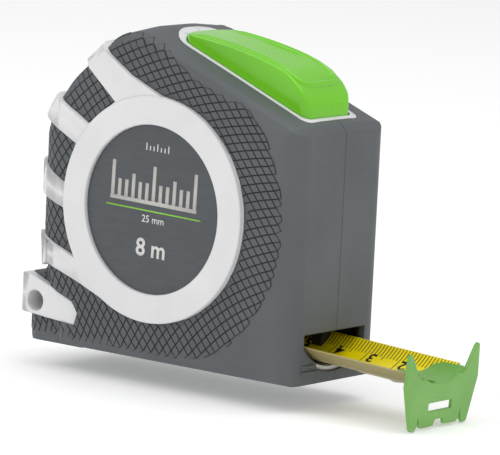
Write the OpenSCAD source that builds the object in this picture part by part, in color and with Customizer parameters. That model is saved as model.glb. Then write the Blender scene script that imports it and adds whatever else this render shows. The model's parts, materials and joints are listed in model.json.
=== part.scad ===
// Pocket tape measure: two-part case with a soft overmoulded grip, press button
// that lifts a blade brake, spring reel, curved steel blade and sliding end hook.
// Frame: origin on the base under the reel's axis, +X towards the mouth, +Z up.

/* [Case] */
// Distance from the reel axis to the front face
case_front = 45; // [42:0.5:54]
// Half of the case width over the grip
case_half_w = 19.3; // [18.5:0.1:24]
// Height of the reel axis above the base
spindle_h = 39.6; // [38:0.2:48]
// Radius of the round back of the grip
back_r = 40.6; // [38:0.2:48]
// Height of the top of the case
case_top = 85; // [80:0.5:104]
// Rise of the middle of the top over its edges
crown = 1; // [0:0.1:1.4]
// Radius of the crest above the reel
crest_r = 13.5; // [12:0.5:16]
// Slope of the top towards the front, in degrees
top_slope = 21; // [19:0.5:23]
// Radius of the upright edges at the front
front_edge_r = 6; // [3:0.5:8]
// Radius of the upright edges at the back
back_edge_r = 9; // [5:0.5:12]
// Bevel where the sides meet the top, back and base
side_bevel = 3; // [1:0.1:4]
// Side position of the joint between the case halves
seam_y = 0.7; // [0:0.1:2]
// Width of the gap in that joint
seam_gap = 0.1; // [0.05:0.01:0.2]
// Thickness of the soft grip
grip_t = 1.8; // [1.2:0.1:2.6]
// Thickness of the hard shell
shell_t = 2.2; // [1.6:0.1:3]

/* [Bezel and label] */
// Outer radius of the bezel ring
ring_r = 29.2; // [26:0.2:32]
// Radius of the label disc
label_r = 21.7; // [16:0.1:23]
// Thickness of the label disc
label_t = 0.35; // [0.2:0.05:0.8]
// Height of the ring over the grip
ring_proud = 1.6; // [0.8:0.1:2.4]
// Depth of the label below the ring
label_depth = 1.1; // [0.4:0.1:1.4]
// Height of the arms over the grip
arm_proud = 1.2; // [0.6:0.1:2]

/* [Lanyard block] */
// Length of the block from its rear end to its nose
block_len = 22; // [18:0.5:24]
// Distance from the reel axis to the block's rear end
block_rear = 45.8; // [44:0.2:52]
// Height of the underside of the block
block_low = 6; // [5:0.1:7]
// Height of the top of the block
block_high = 17.5; // [16:0.1:20]
// Radius of the upright corners at the block's rear
block_corner_r = 5; // [2:0.5:7]
// Radius of the lanyard hole
lanyard_r = 2.7; // [1.5:0.1:3.2]
// Height of the lanyard hole
lanyard_z = 10.6; // [10:0.1:12]

/* [Lock button and brake] */
// Length of the button in front of the reel axis
button_front = 39.8; // [36:0.2:41]
// Length of the button behind the reel axis
button_rear = 3; // [2:0.1:4]
// Half width of the button
button_half_w = 9.5; // [7:0.1:11]
// Height of the button front over the sloping top
button_rise = 8.6; // [5:0.1:10]
// Gap between the button and its frame
button_gap = 0.3; // [0.2:0.05:0.5]
// Width of the hard frame beside the button
frame_w = 1.2; // [0.8:0.1:2]
// Width of the hard frame behind the button
frame_tail = 3; // [1.5:0.1:4]
// Radius of the hinge pins of the button and the rocker
pin_r = 1.5; // [1:0.1:1.8]
// Radial clearance on the hinge pins
pin_play = 0.05; // [0.02:0.01:0.1]
// Distance from the reel axis to the brake bar
brake_x = 33.9; // [33.5:0.1:35]
// Thickness of the brake bar
brake_t = 2.6; // [2:0.1:3]
// Half width of the brake bar
brake_half_w = 9.6; // [8:0.2:11]
// Gap between the resting brake pad and the blade
pad_gap = 0.3; // [0.2:0.05:0.6]

/* [Blade] */
// Width between the two edges of the blade
blade_w = 22.3; // [18:0.1:26]
// Depth of the blade's hollow
blade_sag = 4.8; // [3:0.1:5.5]
// Thickness of the blade
blade_t = 0.25; // [0.15:0.01:0.4]
// Height of the blade edges in the mouth
blade_z = 9.7; // [9:0.1:11]
// Downward tilt of the blade, in degrees
blade_drop = 3.1; // [0:0.1:4]
// Distance from the front face to the hook's outer face
blade_out = 34.4; // [20:0.2:60]
// Straight length of blade kept inside the case
blade_in = 38; // [34:0.5:42]
// Distance from the hook's outer face to the blade's end
blade_setback = 3; // [2:0.1:4]
// Clearance under the blade in the mouth
mouth_gap = 1.2; // [1:0.05:1.6]
// Half width of the mouth
mouth_half_w = 12.6; // [10:0.1:14]

/* [Hook] */
// Thickness of the hook's sheet
hook_t = 1; // [0.7:0.1:1.4]
// Free travel of the hook to each side of its rest
hook_play = 0.5; // [0.2:0.05:0.7]
// Half width over the hook's cheeks
hook_half_w = 15.3; // [12:0.1:17]
// Height of the horns over the blade edges
horn_h = 5.5; // [2:0.1:7]
// Depth of the feet under the blade edges
foot_h = 14.6; // [10:0.1:16]
// Length of the tongue on the blade
tongue_len = 17.5; // [14:0.5:22]
// Radius of the rivet shanks
rivet_r = 1.2; // [0.8:0.1:1.5]

/* [Reel] */
// Outer radius of the wound blade
coil_r = 26.7; // [24:0.1:27]
// Outer radius of the drum's core
core_r = 17.2; // [15:0.1:19]
// Width of the wound blade
coil_w = 25; // [20:0.1:28]
// Radius of the fixed spindle
spindle_r = 3.5; // [2.5:0.1:4.5]

/* [Hidden] */

white = "#e4e4e4";
grey = "#5d6163";
green = "#83e032";
hook_green = "#86b866";
yellow = "#f5e60a";
steel = "#b9bcc0";
dark = "#303336";

run = 0.3;              // clearance between pieces that pass each other
fit = 0.05;             // clearance between pieces that are fixed to each other
big = 300;
wall = grip_t + shell_t;
shell_side = case_half_w - grip_t;
inner_side = shell_side - shell_t;

// Side outline of the case: two circles, the sloping top and the straight lower back
back_c = [0, spindle_h + 2.5];
crest_c = [-9, case_top - crown - crest_r];
crest_span = norm(crest_c - back_c);
crest_dir = atan2(crest_c[1] - back_c[1], crest_c[0] - back_c[0]);
crest_join = crest_dir + acos((back_r - crest_r) / crest_span);
crown_half_w = 6;
brow = [2, 1.6];        // bevel where the top meets the front
back_end = 195;

function arc(c, r, a0, a1, n) =
    [for (i = [0:n]) let (a = a0 + (a1 - a0) * i / n) c + r * [cos(a), sin(a)]];
function slope_z(x, d) =
    (sin(top_slope) * (crest_c[0] - x) + crest_r - d) / cos(top_slope) + crest_c[1];
function back_foot(d) = (back_r - d - (d - back_c[1]) * sin(back_end)) / cos(back_end);
function top_outline(d, rise) = let (front = case_front - d) concat(
    [[front, slope_z(front, d) - brow[1] + rise / 2]],
    [[front - brow[0], slope_z(front - brow[0], d) + rise / 2]],
    arc(crest_c + [0, rise], crest_r - d, 90 - top_slope, crest_join, 8)
);
function case_outline(d) = concat(
    [[case_front - d, d]],
    top_outline(d, 0),
    arc(back_c, back_r - d, crest_join, back_end, 14),
    [[back_foot(d), d]]
);

// Blade cross-section: an arc that is hollow on top, with its edges at height 0
blade_r = (pow(blade_w / 2, 2) + blade_sag * blade_sag) / (2 * blade_sag);
blade_cz = blade_r - blade_sag;
hook_u = blade_out;
lip_half_w = 7;

// Lock mechanism
button_hinge = [3, case_top - 12.5];
button_tail_len = 5;
post_gap = 0.6;
post_w = 3;
rocker_hinge = [26, spindle_h + 18.4];
rocker_back = 10;
rocker_lift = 8;
rocker_reach = brake_x + brake_t / 2 - rocker_hinge[0];
rocker_tip_r = 1.3;
press_x = rocker_hinge[0] - rocker_back;
press_z = rocker_hinge[1] + rocker_lift + 1;
screw_at = [[-22.6, spindle_h + 22.7], [-28, spindle_h - 17.6], [29.6, spindle_h - 19.6],
    [29.5, spindle_h + 13.4]];
pin_reach = button_half_w + post_gap + post_w;
block_half_w = case_half_w - 0.3;
dish_r = 40;
boss_r = 3.1;
screw_r = 1.2;
screw_head_r = 2.4;

// Extrudes a side outline, drawn in X and Z, from y0 to y1
module across(y0, y1) {
    translate([0, y1, 0]) rotate([90, 0, 0]) linear_extrude(y1 - y0) children();
}

// Round bar along Y, centred on [x, z]
module bar_y(at, r, y0, y1, sides = 48) {
    translate([at[0], y1, at[1]]) rotate([90, 0, 0]) cylinder(r = r, h = y1 - y0, $fn = sides);
}

// Frame of the blade: +X along it, origin between its edges at the front face
module in_blade() {
    translate([case_front, 0, blade_z]) rotate([0, blade_drop, 0]) children();
}

// Round bar along the blade, centred on the blade's centre of curvature
module blade_bar(r, u0, u1) {
    translate([u0, 0, blade_cz]) rotate([0, 90, 0]) cylinder(r = r, h = u1 - u0, $fn = 96);
}

// Solid case form, inset by d from the grip's surface, out to half width w
module case_form(d, w, bevel) {
    mid = bevel * (1 - sqrt(0.5));
    intersection() {
        hull() {
            across(-crown_half_w, crown_half_w)
                polygon(concat(top_outline(d, crown), [[crest_c[0], spindle_h]]));
            across(-w + bevel, w - bevel) polygon(case_outline(d));
            across(-w + mid, w - mid) polygon(case_outline(d + mid));
            across(-w, w) polygon(case_outline(d + bevel));
        }
        plan_prism(case_front - d, back_r - d, w, d);
    }
}

// Upright prism with rounded corners that rounds the four upright edges
module plan_prism(front, rear, w, d) {
    fr = max(front_edge_r - d, 0.5);
    br = max(back_edge_r - d, 0.5);
    translate([0, 0, -big / 2]) linear_extrude(big) union() {
        translate([-rear + br, -w]) square([rear + front - br - fr, 2 * w]);
        translate([-rear, -w + br]) square([rear + fr, 2 * w - 2 * br]);
        translate([0, -w + fr]) square([front, 2 * w - 2 * fr]);
        for (s = [-1, 1]) {
            translate([front - fr, s * (w - fr)]) circle(fr, $fn = 48);
            translate([-rear + br, s * (w - br)]) circle(br, $fn = 48);
        }
    }
}

// What a case half leaves to the other one: side -1 is the right half, 1 the left
module other_half(side) {
    y0 = side < 0 ? seam_y - seam_gap / 2 : seam_y + seam_gap / 2 - big;
    translate([-big / 2, y0, -big / 2]) cube([big, big, big]);
}

function polar(a, r) = [r * cos(a), spindle_h + r * sin(a)];

// Bezel: the ring, the field that runs to the back and the three windows in it
module bezel_region(grow = 0) {
    far = back_r + 12;
    translate([0, spindle_h]) circle(ring_r + grow, $fn = 120);
    difference() {
        polygon([polar(62, ring_r - 1 + grow), polar(90, ring_r + 0.6 + grow),
            polar(105, ring_r + 5.5 + grow), polar(114.5, back_r + 2.4 + grow),
            polar(118, far), polar(160, far), polar(207.5, far),
            polar(207.5, back_r - 1.5 + grow), polar(222, ring_r + 3 + grow),
            polar(248, ring_r - 0.4 + grow), polar(268, ring_r - 1 + grow),
            [0, spindle_h]]);
        window(117, 139, 123.5, 142.5, grow);
        window(151.5, 174, 152, 168.5, grow);
        window(186, 212, 179, 195, grow);
    }
}

// Window between two arms: inner corner angles a0, a1 and outer corner angles b0, b1
module window(a0, a1, b0, b1, grow) {
    far = back_r + 20;
    r0 = ring_r + 0.3 + grow;
    t = grow / ring_r * 180 / PI;
    polygon([polar(a0 + t, r0), polar(b0 + t, back_r), polar(b0 + t, far),
        polar(b1 - t, far), polar(b1 - t, back_r), polar(a1 - t, r0)]);
}

// Side outline of the lanyard block
module block_outline() {
    rear = -block_rear;
    nose = rear + block_len;
    polygon([[rear, block_low + 1.4], [rear, block_high - 2], [rear + 2, block_high],
        [rear + 5.2, block_high], [nose - 2.2, block_high - 5.3], [nose - 0.6, block_high - 6.9],
        [nose, block_low + 2.6], [nose - 0.4, block_low + 0.9], [nose - 1.5, block_low],
        [rear + 5.3, block_low + 1.2]]);
}

// Upright prism that rounds the rear corners of the block and its foot
module rear_prism(rear, w) {
    r = block_corner_r;
    linear_extrude(block_high + 5) union() {
        translate([r - rear, -w]) square([rear, 2 * w]);
        translate([-rear, r - w]) square([rear, 2 * (w - r)]);
        for (s = [-1, 1]) translate([r - rear, s * (w - r)]) circle(r, $fn = 48);
    }
}

// Plan outline of the button, grown by grow and by tail more behind it
module button_plan(grow = 0, tail = 0) {
    w = button_half_w + grow;
    r = 2.5;
    len = button_tail_len + grow + tail;
    polygon(concat(
        [for (i = [0:16]) let (a = 90 + i * 180 / 16)
            [button_tail_len - button_rear + len * cos(a), w * sin(a)]],
        arc([button_front + grow - r, r - w], r, -90, 0, 6),
        arc([button_front + grow - r, w - r], r, 0, 90, 6)));
}

// Upright prism that only reaches the top of the case
module top_prism() {
    translate([0, 0, spindle_h]) linear_extrude(big) children();
}

// Side outline of the button above and below the sloping top
module button_side() {
    tip_z = slope_z(button_front, 0);
    knee = [button_front - 6.8, tip_z + button_rise + 2.7];
    polygon([[-button_rear, case_top - 0.9], button_crest, along(0.4, 1.1, knee),
        along(0.65, 1.25, knee), along(0.87, 0.95, knee), knee,
        [button_front - 3.2, tip_z + button_rise - 0.1],
        [button_front - 0.9, tip_z + button_rise - 2.9], [button_front, tip_z + button_rise - 5.4],
        [button_front, tip_z - 2.5], [18, slope_z(18, 0) - 6],
        button_hinge + [4, -3], button_hinge + [-3.5, -3], [-button_rear, button_hinge[1] + 3.5]]);
}

// Point at the share t of the way from the button's crest to its knee, raised by up
function along(t, up, knee) = button_crest + t * (knee - button_crest) + [0, up];
button_crest = [2, case_top - 0.7];

module mouth_cut(extra, u0, u1) {
    in_blade() intersection() {
        blade_bar(blade_r + mouth_gap + extra, u0, u1);
        translate([u0, -mouth_half_w - extra, -big / 2])
            cube([u1 - u0, 2 * (mouth_half_w + extra), big / 2 + 3.1 + extra]);
    }
}

module screw_holes(r, y0, y1) {
    for (p = screw_at) bar_y(p, r, y0, y1, 32);
}

module shell(side) {
    s = side;
    ring_y = s * (case_half_w + ring_proud);
    seat_y = s * (case_half_w + ring_proud - label_depth - label_t);
    difference() {
        union() {
            difference() {
                shell_outside(s, ring_y);
                // Cavity for the reel and the lock mechanism
                across(-inner_side, inner_side) polygon(case_outline(wall));
            }
            inner_ribs(s);
        }
        // Label seat
        bar_y([0, spindle_h], label_r + 0.1, min(seat_y, s * big), max(seat_y, s * big), 120);
        top_prism() button_plan(button_gap);
        mouth_cut(0, -14, 6);
        bar_y([-block_rear + 7, lanyard_z], lanyard_r, -big / 2, big / 2);
        bar_y(button_hinge, pin_r, -pin_reach, pin_reach);
        bar_y(rocker_hinge, pin_r, -inner_side - 1, inner_side + 1);
        screw_holes(screw_r, -inner_side - 1, inner_side + 1);
        if (s > 0) {
            screw_holes(screw_r + 0.1, -big / 2, big / 2);
            screw_holes(screw_head_r + 0.1, shell_side - 0.8, big / 2);
        }
        bar_y([0, spindle_h], spindle_r, -inner_side - 1, inner_side + 1);
        other_half(s);
    }
}

// Everything of the shell that reaches the outside
module shell_outside(s, ring_y) {
    case_form(grip_t, shell_side, side_bevel);
    // Arms that wrap round the back
    intersection() {
        case_form(-arm_proud, case_half_w + arm_proud, side_bevel);
        across(-big / 2, big / 2) bezel_region();
    }
    bar_y([0, spindle_h], ring_r, min(0, ring_y), max(0, ring_y), 120);
    intersection() {
        across(-block_half_w, block_half_w) block_outline();
        rear_prism(block_rear, block_half_w);
    }
    // Frame around the button
    intersection() {
        case_form(-0.1, case_half_w, side_bevel);
        top_prism() button_plan(button_gap + frame_w, frame_tail - frame_w);
    }
    // Lip under the blade
    in_blade() intersection() {
        blade_bar(blade_r + mouth_gap + 1.1, -4, -grip_t / 4);
        translate([-5, -lip_half_w, -big / 2]) cube([8, 2 * lip_half_w, big / 2 - 1]);
    }
}

// Bosses, spindle sockets, pin posts and brake guides inside one half
module inner_ribs(s) {
    y_in = s * inner_side;
    for (p = screw_at)
        bar_y(p, boss_r, min(0, y_in), max(0, y_in), 32);
    bar_y([0, spindle_h], spindle_r + 2, min(s * (coil_w / 2 + 2), y_in),
        max(s * (coil_w / 2 + 2), y_in));
    // Post for the button's hinge pin
    translate([button_hinge[0] - 3, s > 0 ? pin_reach - post_w : -pin_reach,
        button_hinge[1] - 3]) cube([6, post_w, 7]);
    // Posts for the rocker's pin
    bar_y(rocker_hinge, pin_r + 1.5, min(s * 5, y_in), max(s * 5, y_in));
    // Guides beside the brake bar and the peg that holds its spring
    translate([brake_x - 0.5, s > 0 ? brake_half_w + run : -brake_half_w - run - 2, 24])
        cube([case_front - wall - brake_x + 1, 2, 30]);
    translate([brake_x - 0.4, -2.8, peg_z])
        cube([case_front - wall - brake_x + 1, 5.6, 3]);
}

module grip(side) {
    s = side;
    difference() {
        union() {
            difference() {
                case_form(0, case_half_w, side_bevel);
                case_form(grip_t - fit, shell_side + fit, side_bevel);
            }
            // Foot and cap round the lanyard block
            difference() {
                intersection() {
                    translate([-block_rear, -big / 2, 0]) cube([block_len, big, block_high + 0.6]);
                    rear_prism(block_rear - 2, shell_side - 0.6);
                }
                case_form(grip_t - fit, shell_side + fit, side_bevel);
                across(-big / 2, big / 2) polygon([[-block_rear, 0], [-block_rear, block_low],
                    [-block_rear + 4.5, 0]]);
            }
        }
        across(-big / 2, big / 2) bezel_region(fit);
        top_prism() button_plan(button_gap + frame_w + fit, frame_tail - frame_w);
        across(-big / 2, big / 2) block_outline();
        mouth_cut(fit, -14, 6);
        in_blade() intersection() {
            blade_bar(blade_r + mouth_gap + 1.1 + fit, -14, 6);
            translate([-14, -lip_half_w - fit, -20]) cube([20, 2 * (lip_half_w + fit), 19]);
        }
        if (s > 0) screw_holes(screw_head_r + 0.3, shell_side - 0.8, big / 2);
        other_half(s);
    }
}

module shell_right() { color(white) shell(-1); }
module shell_left() { color(white) shell(1); }
module grip_right() { color(grey) grip(-1); }
module grip_left() { color(grey) grip(1); }

module label_disc(s) {
    y = case_half_w + ring_proud - label_depth;
    bar_y([0, spindle_h], label_r, s > 0 ? y - label_t : -y, s > 0 ? y : -y + label_t, 120);
}
module label_right() { color(dark) label_disc(-1); }
module label_left() { color(dark) label_disc(1); }

module case_screws() {
    color(steel) for (p = screw_at) {
        bar_y(p, screw_r, -10, shell_side - 0.8, 24);
        difference() {
            bar_y(p, screw_head_r, shell_side - 0.8, shell_side + 0.8, 32);
            translate([p[0], shell_side + 0.3, p[1]]) rotate([-90, 0, 0]) cylinder(r = 1.2, h = 2, $fn = 6);
        }
    }
}

module spindle() {
    color(steel) difference() {
        bar_y([0, spindle_h], spindle_r, -inner_side - 1 + run, inner_side + 1 - run);
        translate([-0.5, -coil_w / 2 + 1, spindle_h]) cube([1, coil_w - 2, spindle_r + 1]);
    }
}

module lock_button() {
    color(green) difference() {
        union() {
            intersection() {
                across(-button_half_w, button_half_w) button_side();
                top_prism() button_plan();
            }
            // Rib that presses the rocker
            translate([press_x - 1, -3, press_z + run]) cube([2, 6, slope_z(press_x, wall) - press_z]);
        }
        // Thumb hollow
        translate([button_crest[0], 0, button_crest[1] + 0.4]) rotate([0, 12, 0])
            translate([0, 0, dish_r]) rotate([0, 90, 0])
                cylinder(r = dish_r, h = button_front - 8, $fn = 180);
        bar_y(button_hinge, pin_r + pin_play, -big / 2, big / 2);
        // Hollow underside
        translate([6, -button_half_w + 2, 0]) cube([6, 2 * button_half_w - 4, case_top - 5]);
        translate([17, -button_half_w + 2, 0])
            cube([button_front - 19, 2 * button_half_w - 4, slope_z(button_front, 0) + 3]);
    }
}

module button_pin() {
    color(steel) bar_y(button_hinge, pin_r, -pin_reach, pin_reach);
}

module rocker_pin() {
    color(steel) bar_y(rocker_hinge, pin_r, -inner_side, inner_side);
}

module release_rocker() {
    color(dark) difference() {
        union() {
            bar_y(rocker_hinge, pin_r + 1.5, -4.7, 4.7);
            // Back arm, up to the button's rib
            across(-3, 3) polygon([[press_x - 1, press_z], [press_x - 1, press_z - 2],
                rocker_hinge + [-2, -1.6], rocker_hinge + [1.5, 1.5], [press_x + 1.4, press_z]]);
            // Front arm, into the window of the brake bar
            across(-3, 3) polygon([rocker_hinge + [0, -2.5],
                rocker_hinge + [rocker_reach, -rocker_tip_r],
                rocker_hinge + [rocker_reach, rocker_tip_r], rocker_hinge + [0, 2.5]]);
            bar_y(rocker_hinge + [rocker_reach, 0], rocker_tip_r, -3, 3);
        }
        bar_y(rocker_hinge, pin_r + pin_play, -5, 5);
    }
}

window_play = 0.45;
pad_low = blade_z - blade_sag + pad_gap;
pad_high = pad_low + 9;
bar_high = rocker_hinge[1] + 3;
slot_low = pad_high + 6;
slot_high = slot_low + 24;
peg_z = slot_high - 4.4;

module brake_bar() {
    color(dark) difference() {
        translate([brake_x, -brake_half_w, pad_high])
            cube([brake_t, 2 * brake_half_w, bar_high - pad_high]);
        // Window for the rocker's tip
        translate([brake_x - 1, -3 - run, rocker_hinge[1] - rocker_tip_r - window_play])
            cube([brake_t + 2, 6 + 2 * run, 2 * (rocker_tip_r + window_play)]);
        // Slot for the spring and its peg
        translate([brake_x - 1, -3.5, slot_low]) cube([brake_t + 2, 7, slot_high - slot_low]);
    }
}

// Two feet, one on each side of the hook's tongue
module brake_pad() {
    color(dark) for (s = [-1, 1]) intersection() {
        translate([brake_x - 0.5, s > 0 ? 6 : -brake_half_w, pad_low - 1])
            cube([brake_t + 0.5, brake_half_w - 6, pad_high - pad_low + 1]);
        in_blade() blade_bar(blade_r - pad_gap, -20, 5);
    }
}

spring_r = 1.5;
wire_r = 0.3;
spring_turns = 7;
spring_low = slot_low + wire_r + 0.1;
spring_pitch = (peg_z - wire_r - 0.1 - spring_low) / spring_turns;

// Compression spring: tilted half rings that meet end to end
module brake_spring() {
    tilt = atan(spring_pitch / 4 / spring_r);
    color(steel) translate([brake_x + brake_t / 2, 0, spring_low])
        for (i = [0:2 * spring_turns - 1])
            translate([0, 0, (i + 0.5) * spring_pitch / 2]) rotate([0, 0, 180 * (i % 2)])
                rotate([0, tilt, 0]) {
                    rotate_extrude(angle = 180, $fn = 32)
                        translate([spring_r / cos(tilt), 0]) circle(wire_r, $fn = 16);
                    translate([spring_r / cos(tilt), 0, 0]) sphere(wire_r + 0.04, $fn = 24);
                }
}

flange_t = 0.8;
flange_y = coil_w / 2 + 0.3;

module reel_drum() {
    color(dark) difference() {
        union() {
            bar_y([0, spindle_h], core_r, -flange_y, flange_y, 96);
            bar_y([0, spindle_h], coil_r + 0.2, -flange_y - flange_t, -flange_y, 96);
        }
        bar_y([0, spindle_h], core_r - 1.6, -flange_y + 1, flange_y + 1, 96);
        bar_y([0, spindle_h], spindle_r + pin_play, -big / 2, big / 2);
    }
}

module drum_cover() {
    color(dark) difference() {
        bar_y([0, spindle_h], coil_r + 0.2, flange_y + 0.02, flange_y + flange_t, 96);
        bar_y([0, spindle_h], spindle_r + pin_play, -big / 2, big / 2);
    }
}

spiral_step = 18;

// Flat spiral strip, drawn as one outline
module spiral(r0, r1, turns, t) {
    n = turns * 360 / spiral_step;
    inner = [for (i = [0:n]) let (a = i * spiral_step, r = r0 + (r1 - t - r0) * i / n)
        r * [cos(a), sin(a)]];
    outer = [for (i = [n:-1:0]) let (a = i * spiral_step, r = r0 + t + (r1 - t - r0) * i / n)
        r * [cos(a), sin(a)]];
    polygon(concat(inner, outer));
}

module blade_coil() {
    color(yellow) across(-coil_w / 2, coil_w / 2) translate([0, spindle_h])
        spiral((core_r + 0.05) / cos(spiral_step / 2), coil_r, 8, 0.95);
}

module mainspring() {
    color(steel) across(-coil_w / 2 + 2, coil_w / 2 - 2) translate([0, spindle_h])
        spiral(spindle_r + 0.6, core_r - 1.9, 7, 0.55);
}

module rivet_holes(r) {
    for (u = rivet_u) translate([u, 0, -big / 2]) cylinder(r = r, h = big, $fn = 32);
}

rivet_u = [hook_u - 13.5, hook_u - 8.5];
patch_t = 0.2;

module blade_strip() {
    color(yellow) in_blade() intersection() {
        difference() {
            blade_bar(blade_r + blade_t, -blade_in, hook_u - blade_setback);
            blade_bar(blade_r, -blade_in - 1, hook_u);
            rivet_holes(rivet_r + 0.05);
        }
        translate([-blade_in - 1, -blade_w / 2, -blade_sag - 1])
            cube([blade_in + hook_u, blade_w, blade_sag + 1]);
    }
}

module tip_patch() {
    color("#c9b98a") in_blade() intersection() {
        difference() {
            blade_bar(blade_r + blade_t + patch_t, hook_u - 22, hook_u - blade_setback);
            blade_bar(blade_r + blade_t, hook_u - 23, hook_u);
            rivet_holes(rivet_r + 0.05);
        }
        translate([hook_u - 23, -7, -blade_sag - 1]) cube([23, 14, blade_sag]);
    }
}

module tip_rivets() {
    top = -blade_sag + hook_t + 0.3;
    low = -blade_sag - blade_t - patch_t - 0.5;
    color(steel) in_blade() for (u = rivet_u) translate([u, 0, 0]) {
        translate([0, 0, low]) cylinder(r = rivet_r, h = top + 0.2 - low, $fn = 32);
        translate([0, 0, low]) cylinder(r = rivet_r + 0.8, h = 0.45, $fn = 32);
        translate([0, 0, top + 0.05]) cylinder(r = rivet_r + 0.8, h = 0.5, $fn = 32);
    }
}

// Half outline of the hook's face, from the middle of its foot to the saddle
hook_half = [[0, 2.2 - foot_h], [1.6, 2.2 - foot_h], [2.4, 0.6 - foot_h],
    [hook_half_w - 7.9, 0.5 - foot_h], [hook_half_w - 6.9, 1.4 - foot_h],
    [hook_half_w - 6.4, 3.5 - foot_h], [hook_half_w - 5.9, 1 - foot_h],
    [hook_half_w - 5.1, -foot_h], [hook_half_w - 3.7, 0.1 - foot_h],
    [hook_half_w - 3.2, 0.8 - foot_h], [hook_half_w, -3.1], [hook_half_w - 0.4, horn_h - 0.4],
    [hook_half_w - 1, horn_h], [hook_half_w - 1.9, horn_h - 0.6],
    [hook_half_w - 5.1, -0.5], [hook_half_w - 6.5, -1.6], [0, -1.6]];

// Half plan of the tongue; its wide root stays clear of the brake pads
tongue_half = [[hook_u - tongue_len, 0], [hook_u - tongue_len, 1.5],
    [hook_u - tongue_len + 2, 3.4], [hook_u - 10.4, 5], [hook_u - 9, 8.2],
    [hook_u - 7, 9.3], [hook_u, 9.6], [hook_u, 0]];

module end_hook() {
    color(hook_green) in_blade() difference() {
        union() {
            // Face across the end
            translate([hook_u - hook_t, 0, 0]) rotate([90, 0, 90]) linear_extrude(hook_t)
                difference() {
                    union() {
                        polygon(hook_half);
                        mirror([1, 0]) polygon(hook_half);
                    }
                    translate([0, blade_cz]) circle(blade_r - run - hook_t, $fn = 96);
                }
            // Tongue that lies in the blade's hollow
            intersection() {
                difference() {
                    blade_bar(blade_r - 0.1, hook_u - tongue_len, hook_u - hook_t / 2);
                    blade_bar(blade_r - 0.1 - hook_t, hook_u - tongue_len - 1, hook_u);
                }
                translate([0, 0, -blade_sag - 1]) linear_extrude(blade_sag + 1)
                    for (side = [0, 1]) mirror([0, side]) polygon(tongue_half);
            }
        }
        // Slots for the rivets, with the hook's free travel
        for (u = rivet_u) for (e = [-hook_play, hook_play])
            translate([u + e, 0, -big / 2]) cylinder(r = rivet_r + 0.1, h = big, $fn = 32);
        for (u = rivet_u) translate([u - hook_play, -rivet_r - 0.1, -big / 2])
            cube([2 * hook_play, 2 * rivet_r + 0.2, big]);
        // Nail hole in the bend and slot in the face
        translate([hook_u - 4.2, 0, -big / 2]) cylinder(r = 1.5, h = big, $fn = 32);
        translate([hook_u - 2 * hook_t, -4.9, -10.1]) cube([3 * hook_t, 9.8, 2.1]);
    }
}

shell_right();
shell_left();
grip_right();
grip_left();
label_right();
label_left();
case_screws();
spindle();
lock_button();
button_pin();
release_rocker();
rocker_pin();
brake_bar();
brake_pad();
brake_spring();
reel_drum();
drum_cover();
blade_coil();
mainspring();
blade_strip();
tip_patch();
tip_rivets();
end_hook();
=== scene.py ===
"""Visible pieces of a pocket tape measure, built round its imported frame.

The hard shells, button and hook are softened copies of the frame's nodes. The grip tiles,
label print, thumb rim, mouth ribs, blade, its scale and the rivets are modelled here. The soft
grips, label discs, screws and everything inside the case keep their meshes and get finishes.
"""

import json
import math

import bmesh
import bpy
from bpy.props import FloatProperty, FloatVectorProperty, IntProperty, PointerProperty
from mathutils import Matrix, Vector
from mathutils.bvhtree import BVHTree


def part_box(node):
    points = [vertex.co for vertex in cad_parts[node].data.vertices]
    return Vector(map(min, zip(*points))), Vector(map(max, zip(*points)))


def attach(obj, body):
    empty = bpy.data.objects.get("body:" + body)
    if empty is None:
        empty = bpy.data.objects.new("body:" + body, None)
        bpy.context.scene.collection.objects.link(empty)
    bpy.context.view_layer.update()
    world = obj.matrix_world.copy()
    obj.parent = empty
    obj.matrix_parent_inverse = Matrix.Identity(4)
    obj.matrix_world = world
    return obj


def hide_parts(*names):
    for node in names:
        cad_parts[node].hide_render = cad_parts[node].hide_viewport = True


bl_info = {
    "name": "Tape measure parts",
    "version": (1, 0, 0),
    "blender": (4, 5, 0),
    "location": "View3D > Sidebar > Tape measure",
    "description": "Builds the visible pieces of a pocket tape measure round its frame",
    "category": "Mesh",
}

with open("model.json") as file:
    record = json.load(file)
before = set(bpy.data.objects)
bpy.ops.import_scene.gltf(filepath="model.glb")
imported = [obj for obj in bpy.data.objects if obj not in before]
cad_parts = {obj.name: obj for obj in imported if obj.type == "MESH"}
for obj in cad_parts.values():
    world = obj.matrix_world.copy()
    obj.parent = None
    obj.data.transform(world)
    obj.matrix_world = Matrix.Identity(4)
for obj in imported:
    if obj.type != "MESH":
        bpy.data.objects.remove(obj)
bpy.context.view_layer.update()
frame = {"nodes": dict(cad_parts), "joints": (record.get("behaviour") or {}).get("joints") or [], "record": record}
MM = 0.001
MERGE = 0.002 * MM
SIDES = {"right": -1, "left": 1}

JOINTS = {joint["name"]: joint for joint in frame["joints"]}
REEL_AXIS = Vector(JOINTS["reel_spin"]["pos_m"])
MOUNTS = {mount["name"]: Vector(mount["pos_m"]) for mount in frame["record"]["mounts"]}
LANYARD = MOUNTS["lanyard_hole"].xz
BLADE_AXIS = Vector(JOINTS["blade_slide"]["axis"]).normalized()
GRIP_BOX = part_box("grip_right")
BLADE_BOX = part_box("blade_strip")


def screen(red, green, blue):
    """Linear colour of a colour given as it looks on a screen, 0 to 255."""
    parts = [c / 255 for c in (red, green, blue)]
    return tuple(c / 12.92 if c <= 0.04045 else ((c + 0.055) / 1.055) ** 2.4 for c in parts)


# ---------------------------------------------------------------- settings


def length(name, description, default, low=0.0, high=0.2):
    """A length setting in metres."""
    return FloatProperty(
        name=name, description=description, default=default, min=low, max=high,
        subtype="DISTANCE", unit="LENGTH", precision=5,
    )


def tint(name, description, default):
    """A colour setting."""
    return FloatVectorProperty(
        name=name, description=description, default=default, size=3, min=0, max=1, subtype="COLOR",
    )


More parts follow.
